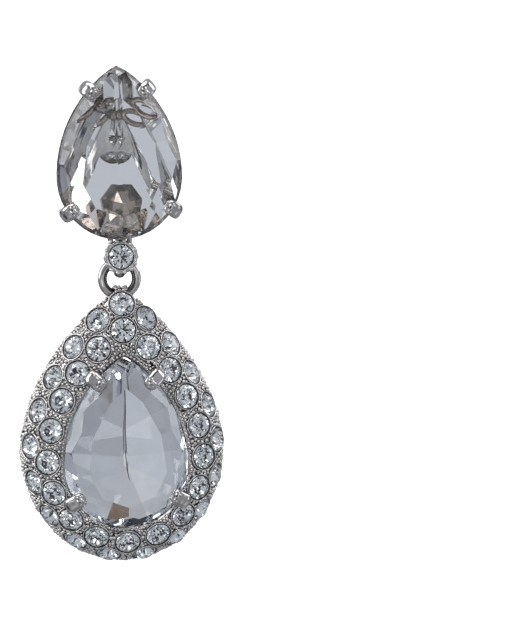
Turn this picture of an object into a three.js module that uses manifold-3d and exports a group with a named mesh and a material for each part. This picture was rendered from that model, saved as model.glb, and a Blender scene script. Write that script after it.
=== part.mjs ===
import * as THREE from 'three';
import { ConvexGeometry } from 'three/addons/geometries/ConvexGeometry.js';
import { mergeVertices } from 'three/addons/utils/BufferGeometryUtils.js';
import Module from 'manifold-3d';

const wasm = await Module();
wasm.setup();

// A drop earring: a claw-set pear stone at the ear, a small link stone, a jump ring and a pear drop
// in a domed frame of small round stones. Millimetres and degrees, +X to the right, +Z up, and the
// front is at -Y. The origin is the root of the ear post, on the flat back of the upper setting.

// Pear stones: the outline is a half circle, two flank arcs and a rounded tip
const pearWidth = 13;
const pearTipRise = 11.5;
const pearTipRound = 0.45;
const pearTipLeast = 0.08;
const pearCrown = 1.9;
const pearGirdle = 0.4;
const pearPavilion = 1.6;
const pearBand = 1.8;
const pearFacets = 10;
const pearCulet = 0.04;
const pearStarSlope = 0.6;
const pearStarRise = 1;

// Small round stones
const stoneWidth = 2.5;
const stoneCrown = 0.5;
const stoneGirdle = 0.16;
const stonePavilion = 1.1;
const stoneBand = 0.62;
const stoneFacets = 8;
const stoneBackFoot = 0.3;

// Fits
const stoneClearance = 0.05;
const wireClearance = 0.1;
const postClearance = 0.05;

// Upper setting: an open cup that narrows to the back, with a forked bridge for the post
const wallThickness = 0.7;
const wallLip = 0.12;
const wallTaper = 1.5;
const bridgeThickness = 0.7;
const bridgeWidth = 1;
const bridgeFork = 3.4;
const bridgeSpread = 25;
const bossWidth = 2.8;
const culetGap = 2.25;

// Claws
const clawWidth = 1.15;
const clawThickness = 0.62;
const clawReach = 0.85;
const clawEdge = 0.16;
const clawBend = 0.38;
const clawTip = 0.47;
const upperClawAngle = 42;
const lowerClawAngle = -33;
const earClawFoot = 2.3;
const earClawBulge = 0.85;
const dropClawFoot = 0.9;
const dropClawBulge = 0.5;

// Link cup, eyes and jump ring
const cupWidth = 3.6;
const cupBackWidth = 2.1;
const cupDepth = 1.6;
const cupTuck = 0.14;
const cupSeatDepth = 1.3;
const strutWidth = 0.55;
const strutSpread = 2;
const wireWidth = 1;
const ringWidth = 4.6;
const ringSetback = 1.7;
const ringTuck = 0.6;
const eyeWidth = 1.15;
const eyeWall = 0.34;
const eyeShow = 0.45;
const lugDrop = 1.73;

// Ear post
const postWidth = 0.85;
const postLength = 10.5;
const postSocket = 0.4;
const postRound = 0.25;

// Drop frame
const haloWidth = 21.25;
const haloTopRise = 16.6;
const haloBottomFall = 11.9;
const haloTipRound = 1.7;
const haloTipAngle = 54;
const haloFlankPull = 0.3;
const haloDepth = 4.4;
const haloTipDepth = 2.2;
const haloTipShare = 0.16;
const haloWall = 1.1;
const seatWall = 0.6;
const seatLedge = 0.7;
const seatHole = 1.1;
const girdleSink = 0.35;
const stoneSink = 0.12;
const bottomBand = 3.9;
const tongueLength = 2.6;

// Rows of small stones, each with its first one at the tip: their number, their place across the
// frame as a share from its inner edge, and the way along the row from the first to the second
const stoneRows = [
  { name: 'inner', count: 18, across: 0.42, tipPitch: 3.3 },
  { name: 'outer', count: 19, across: 0.83, tipPitch: 3.1 },
];

// The drop hangs with its weight under the ring, so it leans back at the bottom
const dropLean = 3.4;

// Facets of the meshes
const wallSteps = 44;
const haloSteps = 48;
const domeSteps = 5;
const hollowSteps = 4;
const seatSides = 12;
const cupSides = 24;
const wireSides = 6;
const ringSides = 16;
const clearanceSides = 40;
const postSides = 16;
const rowSteps = 720;

// Places that follow from the sizes
const pearRadius = pearWidth / 2;
const pearHeight = pearTipRise + pearRadius;
const wireRadius = wireWidth / 2;
const ringRadius = (ringWidth - wireWidth) / 2;
const insetRadius = pearRadius - pearTipRound;
const insetRise = pearTipRise - pearTipRound;
const flankRadius = (insetRadius ** 2 + insetRise ** 2) / (2 * insetRadius) + pearTipRound;
const flankShift = flankRadius - pearRadius;
const wireSag = ringRadius - Math.sqrt(ringRadius ** 2 - (eyeWidth / 2) ** 2);
const eyeHole = wireRadius + wireClearance + wireSag;
const settingDepth = pearGirdle / 2 + pearPavilion + culetGap + bridgeThickness;
const earStonePlace = new THREE.Vector3(0, -settingDepth, pearRadius - pearHeight / 2);
const cupBack = -ringSetback - wireRadius - wireClearance - wireSag;
const linkDrop = pearHeight / 2 + wallLip + cupWidth / 2;
const linkStonePlace = new THREE.Vector3(0, cupBack - cupDepth + cupTuck, -linkDrop);
const ringTop = new THREE.Vector3(0, -ringSetback, -linkDrop - ringTuck);
const ringCentre = new THREE.Vector3(0, -ringSetback, ringTop.z - ringRadius);
const ringBottom = new THREE.Vector3(0, -ringSetback, ringCentre.z - ringRadius);
const haloTop = ringBottom.z + eyeShow;
const haloMiddle = haloTop - haloTopRise;
const haloFront = -ringSetback - wireRadius - wireClearance - haloTipDepth;
const dropStonePlace = new THREE.Vector3(
  0, haloFront + girdleSink, haloMiddle - haloBottomFall + bottomBand + pearRadius);
const haloShift = haloMiddle - dropStonePlace.z;

// Colours
const metal = new THREE.MeshStandardMaterial({ color: 0xb9b6b2, roughness: 0.14, metalness: 1 });
const crystal = new THREE.MeshStandardMaterial({ color: 0xd3d9df, roughness: 0.03, metalness: 0.35 });

const earring = new THREE.Group();

function radians(degrees) {
  return degrees * Math.PI / 180;
}

// A geometry with its near vertices made one and its flat triangles left out
function welded(geometry, reach) {
  const merged = mergeVertices(geometry, reach);
  const index = merged.index.array;
  const corners = [];
  for (let i = 0; i < index.length; i += 3) {
    const [a, b, c] = index.slice(i, i + 3);
    if (a !== b && b !== c && c !== a) {
      corners.push(a, b, c);
    }
  }
  merged.setIndex(corners);
  return merged;
}

// A geometry of shared corners only, without normals or texture places
function closedGeometry(geometry) {
  const plain = geometry.clone();
  plain.deleteAttribute('normal');
  plain.deleteAttribute('uv');
  return welded(plain, 0.0005);
}

function solidOf(geometry) {
  const closed = closedGeometry(geometry);
  const vertProperties = new Float32Array(closed.attributes.position.array);
  const triVerts = new Uint32Array(closed.index.array);
  return new wasm.Manifold(new wasm.Mesh({ numProp: 3, vertProperties, triVerts }));
}

function geometryOf(solid) {
  const mesh = solid.getMesh();
  const geometry = new THREE.BufferGeometry();
  geometry.setAttribute('position', new THREE.BufferAttribute(mesh.vertProperties, 3));
  geometry.setIndex(new THREE.BufferAttribute(mesh.triVerts, 1));
  const closed = welded(geometry, 0.002);
  closed.computeVertexNormals();
  return closed;
}

function addPiece(name, geometry, material, place = new THREE.Matrix4()) {
  const mesh = new THREE.Mesh(geometry, material);
  mesh.name = name;
  mesh.applyMatrix4(place);
  earring.add(mesh);
}

function joined(solids) {
  return solids.reduce((whole, solid) => whole.add(solid));
}

// The main body of a cut solid, without the crumbs that two neighbouring cuts leave between them
function mainBody(solid) {
  const bodies = solid.decompose();
  return bodies.reduce((most, body) => (body.volume() > most.volume() ? body : most));
}

// The pear outline about the middle of its round bottom: arcs, clockwise from the tip. It is sharp
// where it shrinks by more than the tip's roundness.
function pearArcs(grow = 0) {
  const tip = Math.max(pearTipRound + grow, pearTipLeast);
  const flank = flankRadius + grow;
  const lean = Math.acos(flankShift / (flank - tip));
  const tipHeight = Math.sqrt((flank - tip) ** 2 - flankShift ** 2);
  const straight = Math.PI;
  return [
    { x: 0, z: tipHeight, radius: tip, from: straight / 2, to: lean, steps: 2 },
    { x: -flankShift, z: 0, radius: flank, from: lean, to: 0, steps: 12 },
    { x: 0, z: 0, radius: pearRadius + grow, from: 0, to: -straight, steps: 20 },
    { x: flankShift, z: 0, radius: flank, from: straight, to: straight - lean, steps: 12 },
    { x: 0, z: tipHeight, radius: tip, from: straight - lean, to: straight / 2, steps: 2 },
  ];
}

function arcPoint(arc, share) {
  const angle = arc.from + (arc.to - arc.from) * share;
  const normal = new THREE.Vector2(Math.cos(angle), Math.sin(angle));
  const point = new THREE.Vector2(arc.x, arc.z).addScaledVector(normal, arc.radius);
  return { point, normal };
}

// The point and outward normal at a share of the length of a closed outline
function outlineAt(arcs, share) {
  const lengths = arcs.map((arc) => arc.radius * Math.abs(arc.to - arc.from));
  let left = (share % 1) * lengths.reduce((sum, length) => sum + length);
  let i = 0;
  while (i < arcs.length - 1 && left > lengths[i]) {
    left -= lengths[i];
    i += 1;
  }
  return arcPoint(arcs[i], left / lengths[i]);
}

function outlineCorners(arcs) {
  return arcs.flatMap((arc) => (
    Array.from({ length: arc.steps }, (_, i) => arcPoint(arc, i / arc.steps).point)));
}

function outlineSteps(arcs, steps) {
  return Array.from({ length: steps }, (_, i) => outlineAt(arcs, i / steps).point);
}

// A flat outline in X and Z, drawn out along Y from back to front
function slab(points, back, front) {
  const shape = new THREE.Shape(points);
  const geometry = new THREE.ExtrudeGeometry(shape, { depth: back - front, bevelEnabled: false });
  geometry.rotateX(Math.PI / 2);
  geometry.translate(0, back, 0);
  return geometry;
}

// A body of revolution about an axis along Y, from pairs of radius and distance to the front
function turned(profile, sides) {
  const points = profile.map(([radius, forward]) => new THREE.Vector2(radius, -forward));
  return new THREE.LatheGeometry(points.reverse(), sides);
}

// A ring of round wire about an axis along Y
function wireRing(radius, sides, steps) {
  const profile = Array.from({ length: sides + 1 }, (_, i) => {
    const angle = Math.PI * 2 * (i % sides) / sides;
    return [ringRadius + radius * Math.cos(angle), radius * Math.sin(angle)];
  });
  return turned(profile, steps);
}

// Rows of as many points each. Between two rows runs a band, and the last row is either joined to
// the first one or closed by a fan, as the first one is.
function loft(rows, endless) {
  const size = rows[0].length;
  const index = [];
  const bands = endless ? rows.length : rows.length - 1;
  for (let i = 0; i < bands; i += 1) {
    const next = (i + 1) % rows.length;
    for (let j = 0; j < size; j += 1) {
      const side = (j + 1) % size;
      const corners = [i * size + j, i * size + side, next * size + j, next * size + side];
      index.push(corners[0], corners[2], corners[1], corners[1], corners[2], corners[3]);
    }
  }
  const last = (rows.length - 1) * size;
  for (let j = 1; j < size - 1 && !endless; j += 1) {
    index.push(0, j, j + 1, last, last + j + 1, last + j);
  }
  const position = rows.flat().flatMap((point) => [point.x, point.y, point.z]);
  const geometry = new THREE.BufferGeometry();
  geometry.setAttribute('position', new THREE.Float32BufferAttribute(position, 3));
  geometry.setIndex(index);
  return geometry;
}

// A cut stone about the middle of its girdle: the outline drawn out, then cut along its facets.
// Mains and stars stand at even shares of the outline, front and back. A facet is set by its slope
// and by a line that it holds: an inset from the outline, at a height.
function cutStone(corners, arcs, cut, grow = 0) {
  const front = cut.front + grow;
  const back = cut.back + grow;
  let stone = solidOf(slab(corners, back, -front));
  for (const facet of cut.facets) {
    for (let i = 0; i < cut.count; i += 1) {
      const { point, normal } = outlineAt(arcs, (i + facet.shift) / cut.count);
      const flat = Math.sin(facet.slope);
      const deep = Math.cos(facet.slope);
      const reach = (point.dot(normal) - facet.inset) * flat + facet.height * deep + grow;
      const away = [-normal.x * flat, facet.forward * deep, -normal.y * flat];
      stone = stone.trimByPlane(away, -reach);
    }
  }
  return stone.trimByPlane([0, -1, 0], -back).trimByPlane([0, 1, 0], -front);
}

function pearStone(grow = 0) {
  const height = pearGirdle / 2;
  const slope = Math.atan(pearCrown / pearBand);
  const backSlope = Math.atan(pearPavilion / pearRadius);
  const stars = { slope: slope * pearStarSlope, inset: pearBand / 2, height: height + pearStarRise };
  return cutStone(outlineCorners(pearArcs(grow)), pearArcs(), {
    count: pearFacets,
    front: height + pearCrown,
    back: height + pearPavilion - pearCulet,
    facets: [
      { shift: 0, forward: 1, slope, inset: 0, height },
      { shift: 0, forward: -1, slope: backSlope, inset: 0, height },
      { shift: 0.5, forward: 1, ...stars },
    ],
  }, grow);
}

// A round brilliant about the middle of its girdle, from the corners of its facets: the table, the
// feet of the stars, the girdle's two edges, the feet of the lower girdle facets and the culet
function roundStone() {
  const radius = stoneWidth / 2;
  const table = radius - stoneBand;
  const half = Math.PI / stoneFacets;
  const height = stoneGirdle / 2;
  const starFoot = (table * Math.cos(half) + radius) / 2;
  const backFoot = radius * stoneBackFoot;
  const onRidge = (out, rise, run) => height + (radius - out * Math.cos(half)) * rise / run;
  const starRise = onRidge(starFoot, stoneCrown, stoneBand);
  const backFall = onRidge(backFoot, stonePavilion, radius);
  const rings = [
    { out: table, forward: height + stoneCrown, count: stoneFacets, shift: 0 },
    { out: starFoot, forward: starRise, count: stoneFacets, shift: half },
    { out: radius, forward: height, count: 2 * stoneFacets, shift: 0 },
    { out: radius, forward: -height, count: 2 * stoneFacets, shift: 0 },
    { out: backFoot, forward: -backFall, count: stoneFacets, shift: half },
    { out: 0, forward: -height - stonePavilion, count: 1, shift: 0 },
  ];
  const corners = rings.flatMap((ring) => Array.from({ length: ring.count }, (_, i) => {
    const angle = ring.shift + Math.PI * 2 * i / ring.count;
    return new THREE.Vector3(ring.out * Math.sin(angle), -ring.forward, ring.out * Math.cos(angle));
  }));
  return closedGeometry(new ConvexGeometry(corners));
}

// The hollow for a round stone: open in front, a cone behind the girdle, then a round hole
function roundSeat(frontReach, backReach) {
  const girdleBack = stoneGirdle / 2 + stoneClearance;
  const radius = stoneWidth / 2 / Math.cos(Math.PI / seatSides) + stoneClearance;
  const hole = seatHole / 2;
  const coneBack = girdleBack + stonePavilion * (1 - hole / radius);
  const profile = [[0, -backReach], [hole, -backReach], [hole, -coneBack], [radius, -girdleBack]];
  profile.push([radius, frontReach], [0, frontReach]);
  return solidOf(turned(profile, seatSides));
}

// A claw at the girdle of a pear stone, bent over its crown. Its section lies across the outline:
// pairs of the distance outward from the girdle and the distance forward from its middle.
function claw(angle, side, foot, bulge) {
  const overCrown = pearGirdle / 2 + pearCrown * clawReach / pearBand;
  const section = [
    [-seatWall, -foot],
    [0, -foot],
    [bulge, -pearGirdle],
    [bulge, pearGirdle],
    [bulge / 2, overCrown],
    [-clawBend, overCrown + clawThickness],
    [-clawReach, overCrown + clawTip],
    [-clawReach, overCrown - clawEdge],
    [-seatWall, -pearGirdle],
  ];
  const shape = new THREE.Shape(section.map(([out, forward]) => new THREE.Vector2(out, forward)));
  const geometry = new THREE.ExtrudeGeometry(shape, {
    depth: clawWidth - 2 * clawEdge,
    bevelSize: clawEdge,
    bevelOffset: -clawEdge,
    bevelThickness: clawEdge,
    bevelSegments: 2,
  });
  geometry.translate(0, 0, clawEdge - clawWidth / 2);
  const arcs = pearArcs();
  const arc = angle > 0 ? arcs[1] : arcs[2];
  const { point, normal } = arcPoint(arc, (arc.from - radians(angle)) / (arc.from - arc.to));
  const outward = new THREE.Vector3(side * normal.x, 0, normal.y);
  const forward = new THREE.Vector3(0, -1, 0);
  const along = new THREE.Vector3().crossVectors(outward, forward);
  const place = new THREE.Matrix4().makeBasis(outward, forward, along);
  place.setPosition(side * point.x, 0, point.y);
  return solidOf(geometry.applyMatrix4(place));
}

function claws(foot, bulge) {
  return [-1, 1].flatMap((side) => (
    [upperClawAngle, lowerClawAngle].map((angle) => claw(angle, side, foot, bulge))));
}

// A plate across X, from its outline in Y and Z
function plate(points) {
  const shape = new THREE.Shape(points.map(([y, z]) => new THREE.Vector2(y, z)));
  const geometry = new THREE.ExtrudeGeometry(shape, { depth: eyeWidth, bevelEnabled: false });
  geometry.translate(0, 0, -eyeWidth / 2);
  geometry.rotateX(Math.PI / 2);
  geometry.rotateZ(Math.PI / 2);
  return solidOf(geometry);
}

// Corners of an arc about (y, z), between angles measured from +Y towards +Z
function arcCorners(y, z, radius, from, to, steps) {
  return Array.from({ length: steps + 1 }, (_, i) => {
    const angle = radians(from + (to - from) * i / steps);
    return [y + radius * Math.cos(angle), z + radius * Math.sin(angle)];
  });
}

function box(width, depth, height, place) {
  const geometry = new THREE.BoxGeometry(width, depth, height);
  return solidOf(geometry.translate(place.x, place.y, place.z));
}

// The open cup of the upper setting about the middle of its stone's round bottom, and the bridge
// across its back: one bar from the tip, two spread ones below, and the post's boss between them
function settingCup() {
  const lip = pearGirdle / 2;
  const outerAt = (y) => wallLip - wallTaper * (y - lip) / (settingDepth - lip);
  const bodyFrom = (y, back, inset) => {
    const rows = [back, y].map((depth) => (
      outlineSteps(pearArcs(outerAt(depth) - inset), wallSteps)
        .map((point) => new THREE.Vector3(point.x, depth, point.y))));
    return solidOf(loft(rows, false));
  };
  const outer = bodyFrom(lip, settingDepth, 0);
  const hollow = bodyFrom(-pearGirdle, settingDepth + wallThickness, wallThickness);
  const postHeight = -earStonePlace.z;
  const bars = [180, bridgeSpread, -bridgeSpread].map((angle) => {
    const bar = new THREE.BoxGeometry(bridgeWidth, bridgeThickness, pearHeight);
    bar.translate(0, 0, -pearHeight / 2).rotateY(radians(angle));
    bar.translate(0, settingDepth - bridgeThickness / 2, postHeight + bridgeFork);
    return solidOf(bar).intersect(outer);
  });
  const boss = solidOf(turned([
    [0, -bridgeThickness],
    [bossWidth / 2, -bridgeThickness],
    [bossWidth / 2, 0],
    [0, 0],
  ], cupSides)).translate([0, settingDepth - bridgeThickness, postHeight]);
  return joined([outer.subtract(hollow), ...bars, boss]);
}

// The round cup of the link stone, its two struts and the eye behind it
function linkCup() {
  const cup = solidOf(turned([
    [0, 0],
    [cupBackWidth / 2, 0],
    [cupWidth / 2, cupDepth * 0.75],
    [cupWidth / 2, cupDepth],
    [0, cupDepth],
  ], cupSides)).translate([0, cupBack, -linkDrop]);
  const strutTop = pearHeight / 2 - wallThickness;
  const strutLength = linkDrop - cupBackWidth / 2 - strutTop;
  const struts = [-1, 1].map((side) => box(strutWidth, strutWidth, strutLength + strutWidth, {
    x: side * strutSpread / 2,
    y: cupBack - cupDepth / 2,
    z: -strutTop - (strutLength + strutWidth) / 2,
  }));
  const eyeRadius = eyeHole + eyeWall;
  const lugEnd = ringTop.z - lugDrop;
  const eye = plate([
    [cupBack - cupDepth / 2, ringTop.z + eyeRadius],
    ...arcCorners(-ringSetback, ringTop.z, eyeRadius, 90, 0, 6),
    [-ringSetback + eyeWidth / 2, lugEnd],
    [-ringSetback - eyeWidth / 2, lugEnd],
    [cupBack - cupDepth / 2, -linkDrop - cupBackWidth / 2],
  ]);
  const lug = slab([
    new THREE.Vector2(-eyeWidth, ringTop.z + 2 * eyeRadius),
    new THREE.Vector2(eyeWidth, ringTop.z + 2 * eyeRadius),
    ...arcCorners(0, lugEnd + eyeWidth / 2, eyeWidth / 2, 0, -180, 8)
      .map(([x, z]) => new THREE.Vector2(x, z)),
  ], 0, cupBack - cupDepth);
  return joined([cup, ...struts, eye.intersect(solidOf(lug))]);
}

function wireHole(place) {
  const profile = [[0, -eyeWidth], [eyeHole, -eyeWidth], [eyeHole, eyeWidth], [0, eyeWidth]];
  const geometry = turned(profile, seatSides).rotateZ(Math.PI / 2);
  return solidOf(geometry).translate(place.toArray());
}

function earSetting() {
  const upper = joined([settingCup(), ...claws(earClawFoot, earClawBulge)])
    .subtract(pearStone(stoneClearance))
    .translate(earStonePlace.toArray());
  const socketRadius = postWidth / 2 / Math.cos(Math.PI / postSides) + postClearance;
  const socketDepth = postSocket + postClearance;
  const socket = solidOf(turned([
    [0, -postSocket],
    [socketRadius, -postSocket],
    [socketRadius, socketDepth],
    [0, socketDepth],
  ], postSides));
  const seat = roundSeat(cupDepth, cupSeatDepth).translate(linkStonePlace.toArray());
  return upper.add(linkCup())
    .subtract(pearStone(stoneClearance).translate(earStonePlace.toArray()))
    .subtract(seat)
    .subtract(wireHole(ringTop))
    .subtract(socket);
}

// The outer outline of the drop frame about its widest line: a rounded tip, two drawn flanks and
// half an ellipse, clockwise from the tip
function haloPath() {
  const half = haloWidth / 2;
  const turn = radians(haloTipAngle);
  const tipHeight = haloTopRise - haloTipRound;
  const start = new THREE.Vector2(Math.cos(turn), Math.sin(turn)).multiplyScalar(haloTipRound);
  start.y += tipHeight;
  const pull = haloFlankPull * Math.hypot(half - start.x, start.y);
  const upper = new THREE.Vector2(start.x + pull * Math.sin(turn), start.y - pull * Math.cos(turn));
  const path = new THREE.Path();
  path.absarc(0, tipHeight, haloTipRound, Math.PI / 2, turn, true);
  path.bezierCurveTo(upper.x, upper.y, half, pull, half, 0);
  path.absellipse(0, 0, half, haloBottomFall, 0, -Math.PI, true);
  path.bezierCurveTo(-half, pull, -upper.x, upper.y, -start.x, start.y);
  path.absarc(0, tipHeight, haloTipRound, Math.PI - turn, Math.PI / 2, true);
  return path;
}

const haloOutline = haloPath();
const seatOutline = pearArcs(stoneClearance);

// The section of the drop frame at a share of its outline: its inner end, the way out and its
// width and depth
function haloSection(share) {
  const place = (share % 1 + 1) % 1;
  const inner = outlineAt(seatOutline, place).point;
  const outer = haloOutline.getPoint(place);
  outer.y += haloShift;
  const way = outer.clone().sub(inner);
  const width = way.length();
  const fromTip = Math.min(place, 1 - place);
  const depth = THREE.MathUtils.lerp(
    haloTipDepth, haloDepth, THREE.MathUtils.smoothstep(fromTip, 0, haloTipShare));
  return { inner, way: way.normalize(), width, depth };
}

function haloPoint(section, out, back) {
  const point = section.inner.clone().addScaledVector(section.way, out);
  return new THREE.Vector3(point.x, back - girdleSink, point.y);
}

// A point of the domed front at a share of the outline and a share of the way across it
function domePoint(share, across) {
  const section = haloSection(share);
  const back = section.depth * (1 - Math.sqrt(1 - across ** 2));
  return haloPoint(section, section.width * across, back);
}

// The closed section of the frame's wall: the dome, the rim, the hollow and the seat of the stone
function haloRow(share) {
  const section = haloSection(share);
  const { width, depth } = section;
  const row = [];
  for (let i = 0; i <= domeSteps; i += 1) {
    const angle = Math.PI / 2 * i / domeSteps;
    row.push([width * Math.sin(angle), depth * (1 - Math.cos(angle))]);
  }
  const hollowWidth = width - haloWall;
  const least = Math.asin(seatWall / hollowWidth);
  for (let i = 0; i <= hollowSteps; i += 1) {
    const angle = Math.PI / 2 + (least - Math.PI / 2) * i / hollowSteps;
    const back = haloWall + (depth - haloWall) * (1 - Math.cos(angle));
    row.push([hollowWidth * Math.sin(angle), back]);
  }
  const ledgeBack = girdleSink + pearGirdle;
  row.push([seatWall, depth], [-seatLedge, depth], [-seatLedge, ledgeBack], [0, ledgeBack]);
  return row.map(([out, back]) => haloPoint(section, out, back));
}

// Where a small stone sits: on the dome, square to it and a little sunk
function stonePlace(share, across) {
  const step = 0.002;
  const along = domePoint(share + step, across).sub(domePoint(share - step, across));
  const outward = domePoint(share, across + step).sub(domePoint(share, across - step));
  const forward = new THREE.Vector3().crossVectors(along, outward).normalize();
  const back = forward.clone().negate();
  const right = along.normalize();
  const up = new THREE.Vector3().crossVectors(right, back);
  const place = new THREE.Matrix4().makeBasis(right, back, up);
  return place.setPosition(domePoint(share, across).addScaledVector(back, stoneSink));
}

// The shares of the outline at which the stones of a row stand: one at the tip, and the others at
// even lengths along the row
function rowShares(row) {
  const lengths = [0];
  for (let i = 1; i <= rowSteps; i += 1) {
    const from = domePoint((i - 1) / rowSteps, row.across);
    lengths.push(lengths[i - 1] + domePoint(i / rowSteps, row.across).distanceTo(from));
  }
  const pitch = (lengths[rowSteps] - 2 * row.tipPitch) / (row.count - 2);
  const others = Array.from({ length: row.count - 1 }, (_, i) => {
    const wanted = row.tipPitch + i * pitch;
    const end = lengths.findIndex((length) => length >= wanted);
    const part = (wanted - lengths[end - 1]) / (lengths[end] - lengths[end - 1]);
    return (end - 1 + part) / rowSteps;
  });
  return [0, ...others];
}

function smallStones() {
  return stoneRows.flatMap((row) => rowShares(row).map((share, i) => ({
    name: `pave_${row.name}_${String(i + 1).padStart(2, '0')}`,
    place: stonePlace(share, row.across),
  })));
}

// The eye behind the frame's tip: a rounded head over the ring's wire and a tongue in the hollow
function haloEye() {
  const headRadius = wireRadius + wireClearance + eyeWall;
  const tongueFront = haloFront + haloWall;
  return plate([
    [tongueFront, haloTop - haloWall],
    ...arcCorners(-ringSetback, ringBottom.z, headRadius, 135, -60, 8),
    [tongueFront + haloWall, ringBottom.z - tongueLength],
    [tongueFront, ringBottom.z - tongueLength],
  ]);
}

function haloFrame(stones) {
  const rows = Array.from({ length: haloSteps }, (_, i) => haloRow(i / haloSteps));
  const seat = roundSeat(stoneWidth / 2, Math.max(stonePavilion, haloWall) + stoneWidth / 8);
  const wirePath = wireRing(wireRadius + wireClearance, 2 * wireSides, clearanceSides);
  const seats = joined(stones.map((stone) => seat.transform(stone.place.toArray())));
  const eye = haloEye().translate(dropStonePlace.clone().negate().toArray());
  const toRing = ringCentre.clone().sub(dropStonePlace);
  return joined([solidOf(loft(rows, true)), ...claws(dropClawFoot, dropClawBulge), eye])
    .subtract(seats)
    .subtract(pearStone(stoneClearance))
    .subtract(solidOf(wirePath).translate(toRing.toArray()));
}

function earPost() {
  const radius = postWidth / 2;
  return turned([
    [0, -postLength],
    [radius - postRound, -postLength],
    [radius, postRound - postLength],
    [radius, postSocket],
    [0, postSocket],
  ], postSides);
}

const pear = geometryOf(pearStone());
const round = roundStone();
const hang = new THREE.Matrix4().makeTranslation(ringTop)
  .multiply(new THREE.Matrix4().makeRotationX(radians(dropLean)))
  .multiply(new THREE.Matrix4().makeTranslation(ringTop.clone().negate()));
const ringPlace = hang.clone().multiply(new THREE.Matrix4().setPosition(ringCentre));
const dropPlace = hang.clone().multiply(new THREE.Matrix4().setPosition(dropStonePlace));
const smallOnes = smallStones();

addPiece('ear_setting', geometryOf(mainBody(earSetting())), metal);
addPiece('ear_stone', pear, crystal, new THREE.Matrix4().setPosition(earStonePlace));
addPiece('link_stone', round, crystal, new THREE.Matrix4().setPosition(linkStonePlace));
addPiece('ear_post', geometryOf(solidOf(earPost())), metal);
addPiece('jump_ring', geometryOf(solidOf(wireRing(wireRadius, wireSides, ringSides))), metal, ringPlace);
addPiece('halo_frame', geometryOf(mainBody(haloFrame(smallOnes))), metal, dropPlace);
addPiece('drop_stone', pear, crystal, dropPlace);
for (const stone of smallOnes) {
  addPiece(stone.name, round, crystal, dropPlace.clone().multiply(stone.place));
}

export default earring;
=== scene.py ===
"""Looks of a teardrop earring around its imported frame. Metres, +Z up, the stones face -Y."""

import math
import random

import bpy
import numpy as np
from mathutils import Matrix, Vector
from mathutils.bvhtree import BVHTree


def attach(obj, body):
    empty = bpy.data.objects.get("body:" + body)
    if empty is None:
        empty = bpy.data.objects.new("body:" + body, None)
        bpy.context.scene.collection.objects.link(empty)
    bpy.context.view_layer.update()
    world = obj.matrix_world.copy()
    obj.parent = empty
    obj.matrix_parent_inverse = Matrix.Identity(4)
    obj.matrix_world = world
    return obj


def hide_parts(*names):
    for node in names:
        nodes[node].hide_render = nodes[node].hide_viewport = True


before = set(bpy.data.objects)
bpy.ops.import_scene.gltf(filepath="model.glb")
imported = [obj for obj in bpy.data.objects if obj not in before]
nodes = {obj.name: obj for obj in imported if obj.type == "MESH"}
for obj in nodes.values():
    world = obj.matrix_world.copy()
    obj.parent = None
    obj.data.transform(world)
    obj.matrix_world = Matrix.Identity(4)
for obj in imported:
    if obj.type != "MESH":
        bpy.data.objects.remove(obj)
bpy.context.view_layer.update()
rng = random.Random(7)

MM = 0.001
FRONT = Vector((0, -1, 0))

# The drop hangs from the ring's top with its bottom a little to the back
DROP_LEAN = math.radians(3.4)
RING_TOP = Vector((0, -1.7, -11.52)) * MM
RING_RADIUS = 1.8 * MM
WIRE_RADIUS = 0.5 * MM

# Photograph: 525 x 630 pixels at 9.55 pixels per mm, with the origin at this pixel
PIXEL = MM / 9.55
PHOTO_SIZE = (525, 630)
ORIGIN_PIXEL = (114.0, 150.5)
CAMERA_AZIMUTH = math.radians(-7)
CAMERA_ELEVATION = math.radians(4)
CAMERA_ROLL = math.radians(1.6)
CAMERA_DISTANCE = 0.9
SENSOR = 36

FLOOR_HEIGHT = -0.1
FLOOR_HALF = 10


# Camera
def add_camera():
    """A camera at the photograph's angle and framing, without depth of field."""
    away = Vector((
        math.sin(CAMERA_AZIMUTH) * math.cos(CAMERA_ELEVATION),
        -math.cos(CAMERA_AZIMUTH) * math.cos(CAMERA_ELEVATION),
        math.sin(CAMERA_ELEVATION),
    ))
    right = Vector((math.cos(CAMERA_AZIMUTH), math.sin(CAMERA_AZIMUTH), 0))
    up = away.cross(right)
    right, up = (
        right * math.cos(CAMERA_ROLL) - up * math.sin(CAMERA_ROLL),
        up * math.cos(CAMERA_ROLL) + right * math.sin(CAMERA_ROLL),
    )
    across = (PHOTO_SIZE[0] / 2 - ORIGIN_PIXEL[0]) * PIXEL
    down = (PHOTO_SIZE[1] / 2 - ORIGIN_PIXEL[1]) * PIXEL
    target = right * across - up * down
    data = bpy.data.cameras.new("camera")
    data.sensor_fit = "VERTICAL"
    data.sensor_height = SENSOR
    data.lens = SENSOR * CAMERA_DISTANCE / (PHOTO_SIZE[1] * PIXEL)
    data.clip_start = 0.01
    camera = bpy.data.objects.new("camera", data)
    bpy.context.scene.collection.objects.link(camera)
    basis = Matrix((right, up, away)).transposed().to_4x4()
    camera.matrix_world = Matrix.Translation(target + away * CAMERA_DISTANCE) @ basis
    bpy.context.scene.camera = camera


# Shader helpers
def add_node(tree, kind, inputs=None, **settings):
    """A new shader node; an input is either a value or another node's output."""
    node = tree.nodes.new(kind)
    for name, value in settings.items():
        setattr(node, name, value)
    for key, value in (inputs or {}).items():
        socket = node.inputs[key]
        if isinstance(value, bpy.types.NodeSocket):
            tree.links.new(value, socket)
        else:
            socket.default_value = value
    return node


def new_material(name):
    """A material with its tree, its shader and its object coordinates."""
    material = bpy.data.materials.new(name)
    material.use_nodes = True
    tree = material.node_tree
    shader = tree.nodes["Principled BSDF"]
    place = add_node(tree, "ShaderNodeTexCoord").outputs["Object"]
    return material, tree, shader, place


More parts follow.
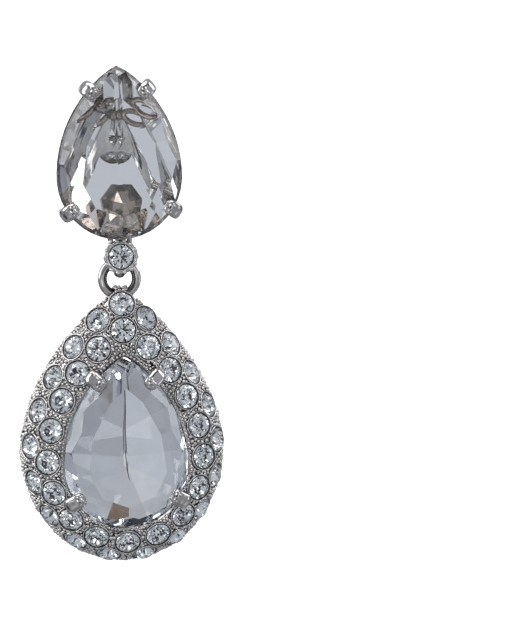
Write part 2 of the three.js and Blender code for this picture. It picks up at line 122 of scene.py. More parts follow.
def noise_of(tree, place, scale, detail=3.0):
    return add_node(
        tree, "ShaderNodeTexNoise", {"Vector": place, "Scale": scale, "Detail": detail}
    ).outputs["Fac"]


def ranged(tree, value, low, high, to_low, to_high):
    """A value brought from one range to another."""
    return add_node(tree, "ShaderNodeMapRange", {
        "Value": value, "From Min": low, "From Max": high, "To Min": to_low, "To Max": to_high,
    }).outputs["Result"]


def mixed(tree, factor, first, second):
    """A colour between two others; sockets 0, 6 and 7 are the factor and the two colours."""
    node = add_node(tree, "ShaderNodeMix", data_type="RGBA", blend_type="MIX")
    for index, value in ((0, factor), (6, first), (7, second)):
        if isinstance(value, bpy.types.NodeSocket):
            tree.links.new(value, node.inputs[index])
        else:
            node.inputs[index].default_value = value
    return node.outputs[2]


def bumped(tree, shader, height, distance):
    """Low relief on a shader."""
    bump = add_node(tree, "ShaderNodeBump", {
        "Height": height, "Distance": distance, "Strength": 1.0,
    })
    tree.links.new(bump.outputs["Normal"], shader.inputs["Normal"])


# Materials
def metal_material(name, bright, dull, recess_shade, reach, roughness, dents):
    """Polished plate: worn a little unevenly, darkened by painted shade in its recesses and softly
    dented.
    """
    material, tree, shader, place = new_material(name)
    broad = noise_of(tree, place, 500)
    plate = mixed(tree, ranged(tree, broad, 0.35, 0.65, 0, 1), (*bright, 1), (*dull, 1))
    # Painted shade: the colour goes to the recess shade colour where ambient occlusion finds nearby
    # surfaces
    hidden = add_node(tree, "ShaderNodeAmbientOcclusion", {"Distance": reach}, samples=6)
    open_share = ranged(tree, hidden.outputs["AO"], 0.25, 0.8, 0, 1)
    colour = mixed(tree, open_share, (*recess_shade, 1), plate)
    tree.links.new(colour, shader.inputs["Base Color"])
    fine = noise_of(tree, place, 2600, 4.0)
    tree.links.new(
        ranged(tree, fine, 0.3, 0.7, roughness[0], roughness[1]), shader.inputs["Roughness"])
    shader.inputs["Metallic"].default_value = 1
    bumped(tree, shader, noise_of(tree, place, 1100, 2.0), dents)
    return material


def crystal_material(name, tint):
    """Clear cut glass with the faintest wipe marks."""
    material, tree, shader, place = new_material(name)
    wipes = noise_of(tree, place, 700, 2.0)
    colour = mixed(tree, ranged(tree, wipes, 0.3, 0.7, 0, 1), (*tint, 1), (0.97, 0.98, 1, 1))
    tree.links.new(colour, shader.inputs["Base Color"])
    tree.links.new(ranged(tree, wipes, 0.35, 0.75, 0.0, 0.02), shader.inputs["Roughness"])
    shader.inputs["Transmission Weight"].default_value = 1
    shader.inputs["IOR"].default_value = 1.56
    return material


def foil_material(name, bright, dull):
    """The mirror foil behind a stone, with small differences of tone."""
    material, tree, shader, place = new_material(name)
    cloud = noise_of(tree, place, 420, 2.0)
    colour = mixed(tree, ranged(tree, cloud, 0.3, 0.7, 0, 1), (*bright, 1), (*dull, 1))
    tree.links.new(colour, shader.inputs["Base Color"])
    tree.links.new(ranged(tree, cloud, 0.3, 0.7, 0.01, 0.04), shader.inputs["Roughness"])
    shader.inputs["Metallic"].default_value = 1
    return material


def floor_material():
    """White paper that glows a little, as on a light table."""
    material, tree, shader, place = new_material("pale_paper")
    grain = noise_of(tree, place, 900, 3.0)
    colour = mixed(tree, grain, (0.93, 0.93, 0.93, 1), (0.96, 0.96, 0.96, 1))
    tree.links.new(colour, shader.inputs["Base Color"])
    tree.links.new(colour, shader.inputs["Emission Color"])
    shader.inputs["Emission Strength"].default_value = 0.75
    shader.inputs["Roughness"].default_value = 0.9
    return material


# Light
def direction(azimuth, elevation):
    """The way from the object to a light; azimuth 0 is the front, and positive ones are right."""
    a, e = math.radians(azimuth), math.radians(elevation)
    return Vector((math.sin(a) * math.cos(e), -math.cos(a) * math.cos(e), math.sin(e)))


def dot_with(tree, way, vector):
    """The dot product of a shader's vector and a fixed one."""
    return add_node(
        tree, "ShaderNodeVectorMath", {0: way, 1: vector}, operation="DOT_PRODUCT"
    ).outputs["Value"]


def math_node(tree, operation, first, second=0.0):
    """The output of one Math node."""
    return add_node(
        tree, "ShaderNodeMath", {0: first, 1: second}, operation=operation
    ).outputs["Value"]


def card_share(tree, way, azimuth, elevation, width, height, soft):
    """How much of a rectangular card is seen along a way: 1 inside its edges, 0 outside."""
    forward = direction(azimuth, elevation)
    right = Vector((0, 0, 1)).cross(forward).normalized()
    up = forward.cross(right)
    depth = math_node(tree, "MAXIMUM", dot_with(tree, way, forward), 0.001)
    share = None
    for side, angle in ((right, width), (up, height)):
        offset = math_node(tree, "DIVIDE", dot_with(tree, way, side), depth)
        edge = math.tan(math.radians(angle))
        part = add_node(tree, "ShaderNodeMapRange", {
            "Value": math_node(tree, "ABSOLUTE", offset),
            "From Min": edge, "From Max": edge * (1 - soft),
            "To Min": 0.0, "To Max": 1.0,
        }, interpolation_type="SMOOTHSTEP").outputs["Result"]
        share = part if share is None else math_node(tree, "MULTIPLY", share, part)
    return share


# Studio cards: azimuth, elevation, half width, half height (degrees), edge softness, colour
CARDS = [
    # Large soft lights over the earring and at both sides
    (0, 86, 26, 26, 0.3, (3.0, 3.0, 3.0)),
    (-88, 22, 16, 30, 0.3, (3.4, 3.4, 3.4)),
    (-120, 60, 14, 12, 0.3, (2.6, 2.6, 2.6)),
    (102, 28, 14, 20, 0.3, (3.0, 3.0, 3.05)),
    # A paler wall at the left, for the right half of the foiled stone
    (-36, -16, 17, 30, 0.35, (0.53, 0.56, 0.61)),
    # A pale screen round the camera, for the small stones
    (-2, 3, 29, 25, 0.35, (0.64, 0.66, 0.675)),
    # Small lights in front and at the sides, for sparks in the small stones and on the grains
    (-16, 24, 6, 6, 0.25, (4.0, 4.0, 4.0)),
    (-30, 49, 6, 6, 0.25, (2.4, 2.4, 2.4)),
    (31, 11, 6, 7, 0.2, (2.6, 2.6, 2.65)),
    (44, 2, 4, 6, 0.2, (2.4, 2.4, 2.4)),
    (30, 33, 5, 6, 0.25, (4.0, 4.0, 4.0)),
    (-20, -16, 5, 5, 0.25, (3.2, 3.2, 3.2)),
    (-61, -15, 4, 6, 0.25, (1.5, 1.5, 1.52)),
    (-70, 14, 4, 14, 0.25, (3.2, 3.2, 3.2)),
    (84, -10, 5, 12, 0.25, (2.2, 2.2, 2.2)),
    (10, -40, 6, 5, 0.25, (1.8, 1.8, 1.8)),
    # The dark of the camera and of the room, and two pale screens low at the sides
    (-5, 2, 10, 9, 0.2, (0.012, 0.012, 0.02)),
    (35, -12, 4, 5, 0.2, (0.03, 0.035, 0.09)),
    (-28, 6, 6, 8, 0.2, (0.012, 0.012, 0.025)),
    (4, -20, 7, 5, 0.2, (0.03, 0.03, 0.04)),
    (-2, 42, 6, 6, 0.2, (0.05, 0.045, 0.05)),
    (16, 54, 10, 7, 0.2, (0.19, 0.135, 0.10)),
    (-52, 50, 7, 8, 0.2, (0.11, 0.085, 0.07)),
    (-48, -50, 13, 9, 0.3, (0.62, 0.64, 0.68)),
    (-12, -30, 5, 4, 0.2, (0.03, 0.03, 0.05)),
    (12, 26, 6, 5, 0.2, (0.015, 0.015, 0.03)),
    (44, 50, 8, 7, 0.2, (0.05, 0.05, 0.06)),
    (78, 50, 10, 10, 0.3, (0.08, 0.075, 0.07)),
    (-84, -16, 6, 10, 0.3, (0.06, 0.055, 0.05)),
    (-104, -40, 14, 12, 0.3, (0.09, 0.08, 0.075)),
    (84, -42, 12, 10, 0.3, (0.75, 0.77, 0.8)),
    (0, -78, 30, 10, 0.3, (0.30, 0.28, 0.27)),
    # Behind the earring, seen through the clear stone
    (180, -2, 24, 28, 0.4, (0.47, 0.495, 0.54)),
    (148, 6, 9, 18, 0.25, (1.5, 1.5, 1.5)),
    (-148, 2, 9, 20, 0.25, (1.6, 1.6, 1.6)),
    (176, 40, 12, 8, 0.25, (0.9, 0.98, 0.95)),
    (-170, -38, 16, 8, 0.25, (0.10, 0.09, 0.085)),
    (122, -10, 8, 14, 0.25, (0.06, 0.06, 0.09)),
    (-124, -14, 8, 12, 0.25, (0.07, 0.06, 0.06)),
]
SKY_LOW = (0.37, 0.385, 0.42)
SKY_MIDDLE = (0.43, 0.455, 0.505)
SKY_HIGH = (0.50, 0.52, 0.55)


def add_world():
    """A sky in three tones with the cards over it, and plain white for the camera itself."""
    world = bpy.data.worlds.new("studio")
    bpy.context.scene.world = world
    world.use_nodes = True
    tree = world.node_tree
    background = tree.nodes["Background"]
    way = add_node(tree, "ShaderNodeTexCoord").outputs["Generated"]
    height = dot_with(tree, way, Vector((0, 0, 1)))
    colour = mixed(tree, ranged(tree, height, -0.6, -0.05, 0, 1), (*SKY_LOW, 1), (*SKY_MIDDLE, 1))
    colour = mixed(tree, ranged(tree, height, 0.05, 0.8, 0, 1), colour, (*SKY_HIGH, 1))
    for azimuth, elevation, width, tall, soft, card_colour in CARDS:
        share = card_share(tree, way, azimuth, elevation, width, tall, soft)
        colour = mixed(tree, share, colour, (*card_colour, 1))
    seen = add_node(tree, "ShaderNodeLightPath").outputs["Is Camera Ray"]
    tree.links.new(mixed(tree, seen, colour, (1, 1, 1, 1)), background.inputs["Color"])


def add_floor():
    """A floor for the camera alone, so that it throws no light into the stones from below."""
    mesh = bpy.data.meshes.new("floor")
    corners = [(-FLOOR_HALF, -FLOOR_HALF), (FLOOR_HALF, -FLOOR_HALF),
               (FLOOR_HALF, FLOOR_HALF), (-FLOOR_HALF, FLOOR_HALF)]
    mesh.from_pydata([(x, y, FLOOR_HEIGHT) for x, y in corners], [], [(0, 1, 2, 3)])
    floor = bpy.data.objects.new("floor", mesh)
    bpy.context.scene.collection.objects.link(floor)
    mesh.materials.append(floor_material())
    floor.visible_glossy = False
    floor.visible_transmission = False
    floor.visible_diffuse = False
    floor.visible_shadow = False


# Mesh helpers
def place_piece(name, vertices, faces, body, material, smooth=True):
    """A new metal piece that rides on a body."""
    mesh = bpy.data.meshes.new(name)
    mesh.from_pydata([tuple(v) for v in vertices], [], faces)
    mesh.validate()
    mesh.materials.append(material)
    if smooth:
        mesh.shade_smooth()
    piece = bpy.data.objects.new(name, mesh)
    bpy.context.scene.collection.objects.link(piece)
    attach(piece, body)
    return piece


def tube_faces(rows, around, closed):
    """Quads between rows of as many points each; open tubes get a fan at both ends."""
    faces = []
    for i in range(rows if closed else rows - 1):
        j = (i + 1) % rows
        for k in range(around):
            m = (k + 1) % around
            faces.append((i * around + k, i * around + m, j * around + m, j * around + k))
    if not closed:
        faces.append(tuple(reversed(range(around))))
        faces.append(tuple(range((rows - 1) * around, rows * around)))
    return faces


def torus_shape(radius, wire, steps, around):
    """A torus about Z."""
    vertices = []
    for i in range(steps):
        turn = math.tau * i / steps
        for k in range(around):
            angle = math.tau * k / around
            out = radius + wire * math.cos(angle)
            vertices.append((out * math.cos(turn), out * math.sin(turn), wire * math.sin(angle)))
    faces = tube_faces(steps, around, True)
    return vertices, faces


def ball_shape(around=10, rows=7):
    """A unit ball with its poles on Z."""
    vertices = [(0, 0, -1)]
    for i in range(1, rows):
        angle = math.pi * i / rows - math.pi / 2
        for k in range(around):
            turn = math.tau * k / around
            out = math.cos(angle)
            vertices.append((out * math.cos(turn), out * math.sin(turn), math.sin(angle)))
    vertices.append((0, 0, 1))
    last = len(vertices) - 1
    faces = []
    for k in range(around):
        m = (k + 1) % around
        faces.append((0, 1 + m, 1 + k))
        faces.append((last, last - around + k, last - around + m))
    for i in range(rows - 2):
        for k in range(around):
            m = (k + 1) % around
            a, b = 1 + i * around, 1 + (i + 1) * around
            faces.append((a + k, a + m, b + m, b + k))
    return vertices, faces


def repeated(shape, places):
    """One mesh of a shape at many places."""
    base, faces = shape
    vertices, all_faces = [], []
    for place in places:
        start = len(vertices)
        vertices.extend(place @ Vector(v) for v in base)
        all_faces.extend(tuple(start + i for i in face) for face in faces)
    return vertices, all_faces


def frame_at(point, forward, size=(1, 1, 1), turn=0.0):
    """A place whose Z runs along forward."""
    basis = forward.to_track_quat("Z", "Y").to_matrix().to_4x4()
    spin = Matrix.Rotation(turn, 4, "Z")
    return Matrix.Translation(point) @ basis @ spin @ Matrix.Diagonal((*size, 1))


# A stone's girdle is made of the corners at this share, or more, of the largest distance from its axis
GIRDLE_SHARE = 0.98


def corners_of(node):
    """The different corners of a CAD node, as an array."""
    found = np.array([v.co for v in nodes[node].data.vertices], float)
    return np.unique(np.round(found, 7), axis=0)


def stone_frame(node):
    """The middle of a round stone's girdle and the way its table faces."""
    corners = corners_of(node)
    centre = corners.mean(0)
    axis = np.linalg.eigh(np.cov((corners - centre).T))[1][:, 0]
    along = (corners - centre) @ axis
    if -along.min() < along.max():
        axis, along = -axis, -along
    wide = np.linalg.norm(corners - centre - np.outer(along, axis), axis=1)
    girdle = corners[wide > wide.max() * GIRDLE_SHARE]
    return Vector(girdle.mean(0)), Vector(axis).normalized()


# The nodes' own materials. Faces of a foiled stone are foil where they look this far backward
FOIL_FACING = -0.05
WELD_DISTANCE = 1e-6


def dress_stone(node, forward, crystal, foil=None):
    """Clear in front; behind, either foiled or clear as well."""
    mesh = nodes[node].data
    mesh.materials.clear()
    mesh.materials.append(crystal)
    if foil:
        mesh.materials.append(foil)
        for polygon in mesh.polygons:
            polygon.material_index = 1 if polygon.normal.dot(forward) < FOIL_FACING else 0
    mesh.shade_flat()


def dress_metal(node, material, angle):
    """Metal shaded smooth over edges that turn less than an angle in degrees."""
    mesh = nodes[node].data
    mesh.materials.clear()
    mesh.materials.append(material)
    weld = nodes[node].modifiers.new("weld", "WELD")
    weld.merge_threshold = WELD_DISTANCE
    mesh.shade_smooth()
    mesh.set_sharp_from_angle(angle=math.radians(angle))


add_camera()
add_world()
add_floor()

# The third colour of each plate is the painted shade in its recesses
polished = metal_material(
    "polished_plate", (0.58, 0.56, 0.55), (0.46, 0.44, 0.43), (0.26, 0.24, 0.23),
    0.7 * MM, (0.05, 0.13), 0.006 * MM)
cast = metal_material(
    "cast_plate", (0.80, 0.775, 0.76), (0.62, 0.595, 0.58), (0.10, 0.085, 0.08),
    0.35 * MM, (0.06, 0.16), 0.015 * MM)
# Nearly black metal, all painted shade: the ring's inside, the dark rings at the stones' seats and the
# keel line
shade_plate = metal_material(
    "painted_shade_plate", (0.10, 0.09, 0.085), (0.06, 0.052, 0.048), (0.02, 0.017, 0.015),
    0.5 * MM, (0.15, 0.3), 0.01 * MM)
gallery_plate = metal_material(
    "gallery_plate", (0.42, 0.355, 0.31), (0.27, 0.225, 0.19), (0.07, 0.055, 0.045),
    0.6 * MM, (0.06, 0.16), 0.015 * MM)
crystal = crystal_material("clear_crystal", (0.975, 0.985, 0.99))
foil = foil_material("mirror_foil", (0.90, 0.91, 0.925), (0.83, 0.84, 0.855))

DROP_FRONT = Matrix.Rotation(DROP_LEAN, 3, "X") @ FRONT
HANG = (
    Matrix.Translation(RING_TOP) @ Matrix.Rotation(DROP_LEAN, 4, "X")
    @ Matrix.Translation(-RING_TOP))

small_stones = sorted(name for name in nodes if name.startswith("pave_"))
stone_frames = {name: stone_frame(name) for name in small_stones + ["link_stone"]}
for name, (_, forward) in stone_frames.items():
    dress_stone(name, forward, crystal, foil)
dress_stone("ear_stone", FRONT, crystal)
dress_stone("drop_stone", DROP_FRONT, crystal, foil)
dress_metal("ear_setting", polished, 32)
dress_metal("ear_post", polished, 32)
dress_metal("halo_frame", cast, 40)

# The jump ring's round wire
ring_place = HANG @ Matrix.Translation(RING_TOP - Vector((0, 0, RING_RADIUS)))
ring_place = ring_place @ Matrix.Rotation(math.pi / 2, 4, "X")
ring_wire = repeated(torus_shape(RING_RADIUS, WIRE_RADIUS, 96, 28), [ring_place])
ring = place_piece("jump_ring_wire", *ring_wire, "ring", polished)
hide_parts("jump_ring")

# Its inside is darkened with painted shade and finely marked, the marks clear of the two eyes that
# hold it
RING_SHADE_WITHIN = 1.68 * MM
MARKS = 44
MARK_SIZE = 0.075 * MM
MARK_TURN = math.radians(50)
EYE_TURN = math.radians(60)
ring.data.materials.append(shade_plate)
ring_inverse = ring_place.inverted()
# Painted shade on the faces nearer the ring's middle than this radius
for polygon in ring.data.polygons:
    local = ring_inverse @ polygon.center
    polygon.material_index = 1 if math.hypot(local.x, local.y) < RING_SHADE_WITHIN else 0
mark_out = RING_RADIUS - WIRE_RADIUS * math.cos(MARK_TURN)
mark_side = WIRE_RADIUS * math.sin(MARK_TURN)
marks = []
for k in range(MARKS):
    turn = math.tau * k / MARKS
    if abs(math.sin(turn)) > math.cos(EYE_TURN):
        continue
    for side in (-mark_side, mark_side):
        local = Vector((mark_out * math.cos(turn), mark_out * math.sin(turn), side))
        marks.append(frame_at(ring_place @ local, FRONT, (MARK_SIZE, MARK_SIZE, MARK_SIZE)))
place_piece("ring_marks", *repeated(ball_shape(8, 6), marks), "ring", polished)


# Rims of the small stones, and thin dark rings of painted shade inside them, at their seats
RIM_RADIUS = 1.43 * MM
RIM_WIRE = 0.06 * MM
SHADE_RING_RADIUS = 1.31 * MM
SHADE_RING_WIRE = 0.055 * MM
RIM_LIFT = 0.1 * MM


def rings_at(names, radius, wire):
    """Rings of wire round some small stones, a little in front of their girdles."""
    places = [
        frame_at(stone_frames[name][0] + stone_frames[name][1] * RIM_LIFT, stone_frames[name][1])
        for name in names
    ]
    return repeated(torus_shape(radius, wire, 36, 8), places)


for name, body, stones in (
        ("halo", "drop", small_stones), ("link", "ear", ["link_stone"])):
    rims = rings_at(stones, RIM_RADIUS, RIM_WIRE)
    shade_rings = rings_at(stones, SHADE_RING_RADIUS, SHADE_RING_WIRE)
    place_piece(name + "_seat_rims", *rims, body, cast)
    # The dark rings are painted shade where each stone meets its seat
    place_piece(name + "_seat_shade_rings", *shade_rings, body, shade_plate)

# The frame's surface, for what is set on it
halo_mesh = nodes["halo_frame"].data
halo_tree = BVHTree.FromPolygons(
    [v.co.copy() for v in halo_mesh.vertices], [tuple(p.vertices) for p in halo_mesh.polygons])

# Pear stones: a half circle, two flank arcs and a rounded tip, as in the solids
PEAR_RADIUS = 6.5 * MM
PEAR_TIP_RISE = 11.5 * MM
PEAR_TIP_ROUND = 0.45 * MM
PEAR_INSET = PEAR_RADIUS - PEAR_TIP_ROUND
PEAR_RISE = PEAR_TIP_RISE - PEAR_TIP_ROUND
FLANK_RADIUS = (PEAR_INSET ** 2 + PEAR_RISE ** 2) / (2 * PEAR_INSET) + PEAR_TIP_ROUND
FLANK_SHIFT = FLANK_RADIUS - PEAR_RADIUS
FLANK_TURN = math.acos(FLANK_SHIFT / (FLANK_RADIUS - PEAR_TIP_ROUND))
EAR_STONE = Vector((0, -4.75, -2.5)) * MM
DROP_STONE = Vector((0, -4.15, -32.77)) * MM
DROP_PLACE = HANG @ Matrix.Translation(DROP_STONE)

# The row of beads round the drop stone
ROW_STEPS = 600
BEAD_SPACING = 0.4 * MM
BEAD_OUT = 0.3 * MM
BEAD_SIZE = 0.17 * MM
LEAST_FACING = 0.3
RAY_START = 8 * MM
RAY_LENGTH = 12 * MM


def pear_point(angle):
    """A point of the pear outline and its outward normal, at an angle from +X towards the tip."""
    normal = Vector((math.cos(angle), 0, math.sin(angle)))
    if angle <= 0:
        return normal * PEAR_RADIUS, normal
    if angle <= FLANK_TURN:
        return normal * FLANK_RADIUS - Vector((FLANK_SHIFT, 0, 0)), normal
    return normal * PEAR_TIP_ROUND + Vector((0, 0, PEAR_RISE)), normal


def pear_row(spacing, grow):
    """Even points along the pear outline, moved outward: the right half, then the left one."""
    angles = [-math.pi / 2 + math.pi * i / ROW_STEPS for i in range(ROW_STEPS + 1)]
    points = [pear_point(angle)[0] + pear_point(angle)[1] * grow for angle in angles]
    found = [points[0]]
    for point in points:
        if (point - found[-1]).length >= spacing:
            found.append(point)
    return found + [Vector((-q.x, q.y, q.z)) for q in found[1:]]


def on_frame(point):
    """The frame's surface in front of a point of the drop stone's outline, and its normal."""
    start = DROP_PLACE @ (point + FRONT * RAY_START)
    hit, normal, _, _ = halo_tree.ray_cast(start, -DROP_FRONT, RAY_LENGTH)
    return hit, normal


milgrain = []
for point in pear_row(BEAD_SPACING, BEAD_OUT):
    hit, normal = on_frame(point)
    if hit is None or normal.dot(DROP_FRONT) < LEAST_FACING:
        continue
    size = BEAD_SIZE * rng.uniform(0.9, 1.1)
    milgrain.append(frame_at(hit, DROP_FRONT, (size, size, size)))
place_piece("halo_milgrain", *repeated(ball_shape(8, 6), milgrain), "drop", cast)

# Grains: scattered over the frame's metal, clear of the stones and of each other
GRAIN_GAP = 0.3 * MM
GRAIN_TRIES = 60000
GRAIN_MOST = 1900
GRAIN_SIZES = (0.13, 0.23)
GRAIN_LIFT = 0.04 * MM
GRAIN_VIEW = 6 * MM
BACK_FACING = -0.1
STONE_REACH = 1.5 * MM
STONE_DEPTH = 1.6 * MM


def in_a_stone(point):
    """Whether a point lies over a small stone or its rim."""
    for middle, forward in stone_frames.values():
        way = point - middle
        along = way.dot(forward)
        if abs(along) < STONE_DEPTH and (way - forward * along).length < STONE_REACH:
            return True
    return False


def in_the_opening(point):
    """Whether a point lies within the opening that the drop stone closes."""
    local = DROP_PLACE.inverted() @ point
    if local.z < 0:
        return math.hypot(local.x, local.z) < PEAR_RADIUS + GRAIN_GAP
    return math.hypot(abs(local.x) + FLANK_SHIFT, local.z) < FLANK_RADIUS + GRAIN_GAP


def scattered_grains():
    """Random open points of the frame's front and sides, with a least distance between them."""
    halo_mesh.calc_loop_triangles()
    triangles = [
        triangle for triangle in halo_mesh.loop_triangles
        if triangle.normal.dot(DROP_FRONT) > BACK_FACING]
    cumulative = np.cumsum([triangle.area for triangle in triangles])
    kept = []
    cells = {}

    def cell_of(point):
        return tuple(math.floor(c / GRAIN_GAP) for c in point)

    def keep(point):
        cells.setdefault(cell_of(point), []).append(point)

    def near(point):
        x, y, z = cell_of(point)
        around = (-1, 0, 1)
        return any(
            (other - point).length < GRAIN_GAP
            for dx in around for dy in around for dz in around
            for other in cells.get((x + dx, y + dy, z + dz), ()))

    for place in milgrain:
        keep(place.translation.copy())
    for _ in range(GRAIN_TRIES):
        pick = int(np.searchsorted(cumulative, rng.random() * cumulative[-1]))
        triangle = triangles[min(pick, len(triangles) - 1)]
        a, b, c = (halo_mesh.vertices[i].co for i in triangle.vertices)
        u, v = rng.random(), rng.random()
        if u + v > 1:
            u, v = 1 - u, 1 - v
        point = a + (b - a) * u + (c - a) * v
        if in_a_stone(point) or in_the_opening(point) or near(point):
            continue
        start = point + triangle.normal * 0.05 * MM
        if halo_tree.ray_cast(start, triangle.normal, GRAIN_VIEW)[0] is not None:
            continue
        keep(point)
        kept.append((point, triangle.normal.copy()))
        if len(kept) >= GRAIN_MOST:
            break
    return kept


grains = []
for point, normal in scattered_grains():
    size = rng.uniform(*GRAIN_SIZES) * MM
    stretch = (size * rng.uniform(0.9, 1.2), size, size * rng.uniform(0.9, 1.3))
    grains.append(frame_at(point + normal * GRAIN_LIFT, normal, stretch, rng.uniform(0, math.tau)))
place_piece("halo_grains", *repeated(ball_shape(8, 6), grains), "drop", cast)

# Beads round the link stone
LINK_BEADS = 14
LINK_BEAD_SIZE = 0.24 * MM
LINK_BEAD_OUT = 1.68 * MM
middle, forward = stone_frames["link_stone"]
beads = []
for k in range(LINK_BEADS):
    turn = math.tau * (k + 0.5) / LINK_BEADS
    side = Vector((math.sin(turn), 0, math.cos(turn)))
    beads.append(frame_at(
        middle + side * LINK_BEAD_OUT, forward, (LINK_BEAD_SIZE, LINK_BEAD_SIZE, LINK_BEAD_SIZE)))
place_piece("link_beads", *repeated(ball_shape(), beads), "ear", cast)


# Claws: a rounded tooth over each of the plain ones, along its section across the outline
CLAW_AROUND = 20
CLAW_STEPS = 18
CLAW_ANGLES = (math.radians(42), math.radians(-33))
CLAW_POWER = 2.5

# A claw's path: how far outside the girdle and how far before its middle, in mm. Each foot differs,
# and the tip lies over the stone
EAR_FOOT = [(0.53, -2.2), (0.57, -0.3), (0.55, 0.45)]
DROP_FOOT = [(1.0, 0.3), (0.85, 0.62), (0.6, 0.9)]
CLAW_TIP = [(0.2, 1.1), (-0.32, 1.42), (-0.75, 1.36), (-1.06, 1.22)]

# Half thickness and half width along the claw, in mm
CLAW_TALL = (0.40, 0.42, 0.46, 0.48, 0.46, 0.40, 0.30)
CLAW_WIDE = (0.72, 0.76, 0.84, 0.86, 0.80, 0.72, 0.52)

# How a swept solid is made: the step for its direction, and its ends rounded over a few rows
SWEEP_STEP = 0.01
ROUND_ROWS = 3
END_SHARE = 0.004
CURVE_END = 0.9999


def curve_point(points, share):
    """A point of a smooth Catmull-Rom curve through a few points, at a share of the way."""
    last = len(points) - 1
    place = min(share, CURVE_END) * last
    i = int(place)
    u = place - i
    a, b = points[max(i - 1, 0)], points[i]
    c, d = points[i + 1], points[min(i + 2, last)]
    return 0.5 * (
        b * 2 + (c - a) * u + (a * 2 - b * 5 + c * 4 - d) * u ** 2
        + (b * 3 - a - c * 3 + d) * u ** 3)


def swept(points, radii, around, steps, widths=None, side=None, power=2.0):
    """A solid along a smooth curve, round or a wide superellipse, with rounded ends."""
    vertices = []
    widths = radii if widths is None else widths
    side = side or Vector((0, 1, 0))
    for i in range(steps + 1):
        share = i / steps
        middle = curve_point(points, share)
        ahead = curve_point(points, min(share + SWEEP_STEP, 1))
        behind = curve_point(points, max(share - SWEEP_STEP, 0))
        along = (ahead - behind).normalized()
        up = along.cross(side).normalized()
        across = up.cross(along).normalized()
        end = min(share, 1 - share) * steps
        round_share = math.sqrt(max(1 - (1 - min(end / ROUND_ROWS, 1)) ** 2, END_SHARE))
        tall = float(np.interp(share, np.linspace(0, 1, len(radii)), radii)) * round_share
        wide = float(np.interp(share, np.linspace(0, 1, len(widths)), widths)) * round_share
        for k in range(around):
            turn = math.tau * k / around
            c, s = math.cos(turn), math.sin(turn)
            x = math.copysign(abs(c) ** (2 / power), c) * wide
            y = math.copysign(abs(s) ** (2 / power), s) * tall
            vertices.append(middle + across * x + up * y)
    return vertices, tube_faces(steps + 1, around, False)


def claw_shape(angle, side, foot):
    """A claw about the middle of its pear stone's round bottom, from its foot to its tip."""
    point, normal = pear_point(angle)
    outward = Vector((normal.x * side, 0, normal.z))
    point = Vector((point.x * side, 0, point.z))
    across = outward.cross(FRONT)
    path = foot + CLAW_TIP
    points = [point + outward * out * MM + FRONT * ahead * MM for out, ahead in path]
    tall = [half * MM for half in CLAW_TALL]
    wide = [half * MM for half in CLAW_WIDE]
    return swept(points, tall, CLAW_AROUND, CLAW_STEPS, wide, across, CLAW_POWER)


def joined_shapes(shapes):
    """One mesh of several shapes."""
    vertices, faces = [], []
    for shape in shapes:
        start = len(vertices)
        vertices.extend(shape[0])
        faces.extend(tuple(start + i for i in face) for face in shape[1])
    return vertices, faces


def claw_set(foot, place):
    """The four claws of a pear stone."""
    shapes = [claw_shape(angle, side, foot) for side in (-1, 1) for angle in CLAW_ANGLES]
    vertices, faces = joined_shapes(shapes)
    return [place @ v for v in vertices], faces


ear_claws = claw_set(EAR_FOOT, Matrix.Translation(EAR_STONE))
place_piece("ear_claws", *ear_claws, "ear", polished)
place_piece("drop_claws", *claw_set(DROP_FOOT, DROP_PLACE), "drop", polished)

# Open metalwork behind the clear ear stone, in mm about the post's root: two eyes of wire at the
# bridge's fork, side bars down to the lower claws, and the domed foot over the link
GALLERY_DEPTH = -0.95
EYE_STEPS = 16
EYE_TILT = math.radians(-24)
EYE_MIDDLE = (1.75, 3.2)
EYE_HALF = (1.25, 0.6)


def gallery_bar(places, radius):
    """Round wire along points in the plane of the metalwork."""
    points = [Vector((x, GALLERY_DEPTH, z)) * MM for x, z in places]
    return swept(points, [radius * MM] * 2, 12, 20)


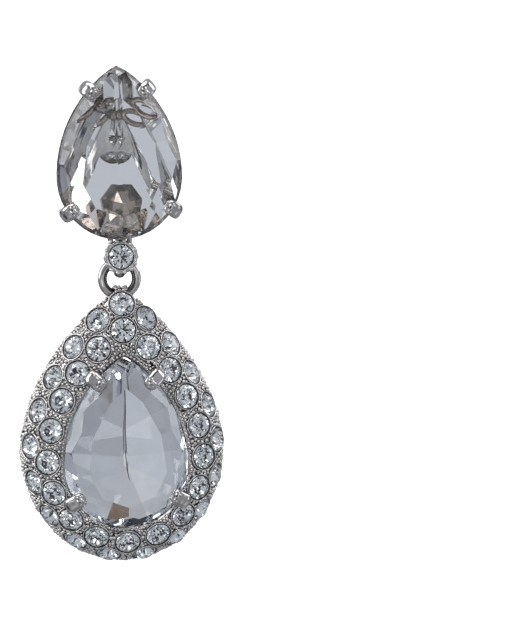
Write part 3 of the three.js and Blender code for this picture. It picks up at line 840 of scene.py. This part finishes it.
def eye_points(side):
    """A closed oval of wire beside the fork, its outer end lower."""
    tilt = EYE_TILT * side
    points = []
    for k in range(EYE_STEPS + 1):
        turn = math.tau * k / EYE_STEPS
        x, z = EYE_HALF[0] * math.cos(turn), EYE_HALF[1] * math.sin(turn)
        points.append((
            side * EYE_MIDDLE[0] + x * math.cos(tilt) - z * math.sin(tilt),
            EYE_MIDDLE[1] + x * math.sin(tilt) + z * math.cos(tilt)))
    return points


gallery = [gallery_bar(eye_points(side), 0.3) for side in (-1, 1)]
gallery += [
    gallery_bar([(-3.0, -2.4), (-3.2, -4.2), (-3.0, -6.3)], 0.3),
    gallery_bar([(-4.0, -3.2), (-3.9, -4.6), (-3.6, -6.0)], 0.22),
    gallery_bar([(3.2, -3.5), (4.0, -3.9), (4.9, -4.4)], 0.42),
    gallery_bar([(0.3, -4.5), (0.2, -6.5), (0.0, -8.6)], 0.7),
]
knot = frame_at(Vector((0.1, GALLERY_DEPTH, 3.5)) * MM, FRONT, (0.5 * MM, 0.5 * MM, 0.45 * MM))
gallery.append(repeated(ball_shape(12, 8), [knot]))
place_piece("ear_gallery", *joined_shapes(gallery), "ear", gallery_plate)
dome = frame_at(Vector((0.4, -1.1, -5.2)) * MM, FRONT, (2.1 * MM, 2.3 * MM, 1.3 * MM), 0.2)
place_piece("ear_dome", *repeated(ball_shape(7, 5), [dome]), "ear", gallery_plate, smooth=False)

# A thin dark wire along the drop stone's keel, painted shade where the foil creases, seen through the
# stone as a thin line. Its points are right, up and back from the stone's middle, in mm
KEEL_RADIUS = 0.035 * MM
KEEL_PATH = [
    (0.0, 9.6, 0.7), (0.05, 6.0, 1.1), (-0.05, 3.4, 1.35), (0.1, 0.0, 1.5), (0.35, -1.6, 1.3)]
keel_points = [Vector((x, depth, z)) * MM for x, z, depth in KEEL_PATH]
keel_vertices, keel_faces = swept(keel_points, [KEEL_RADIUS] * 2, 6, 24)
keel_vertices = [DROP_PLACE @ v for v in keel_vertices]
place_piece("drop_keel_shade_line", keel_vertices, keel_faces, "drop", shade_plate)

# Colours as the shaders give them, and enough bounces for cut stones
scene = bpy.context.scene
scene.view_settings.view_transform = "Standard"
scene.cycles.max_bounces = 20
scene.cycles.transmission_bounces = 20
scene.cycles.glossy_bounces = 16
